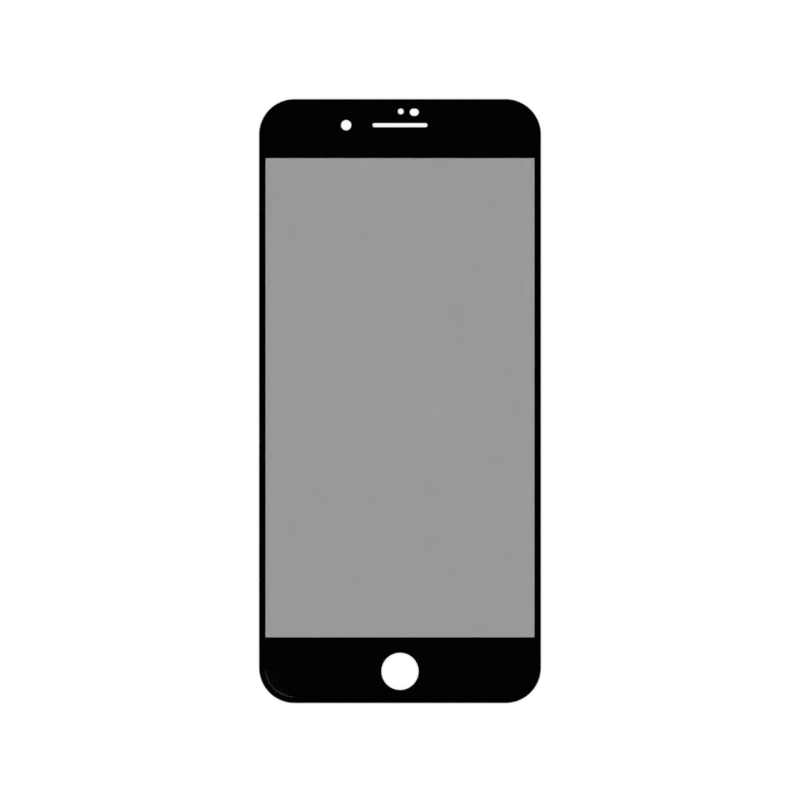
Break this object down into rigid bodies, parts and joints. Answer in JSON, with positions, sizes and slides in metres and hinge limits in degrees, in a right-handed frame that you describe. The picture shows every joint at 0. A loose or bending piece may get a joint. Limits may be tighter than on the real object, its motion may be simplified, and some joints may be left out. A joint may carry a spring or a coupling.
{
  "type": "phone privacy screen protector",
  "caption": "Flat glass screen protector with a black printed border, a louvred privacy window and cut-outs for the home button, earpiece, camera and sensors.",
  "frame": {"origin": "centre of the outline, on the sticky back face", "axes": "+Z out of the glass front, +Y towards the earpiece end, +X to the right seen from the front"},
  "size_m": [0.072, 0.1544, 0.0007],
  "materials": {
    "glass": "clear, polished, with an oil-repellent coat",
    "ink": "opaque black screen print",
    "bond": "clear optical adhesive",
    "film": "grey film with fine black louvres",
    "gel": "clear silicone adhesive"
  },
  "bodies": {
    "root": {"cover_glass": "glass", "printed_border": "ink", "bonding_layer": "bond", "privacy_film": "film", "mounting_adhesive": "gel"}
  },
  "joints": []
}
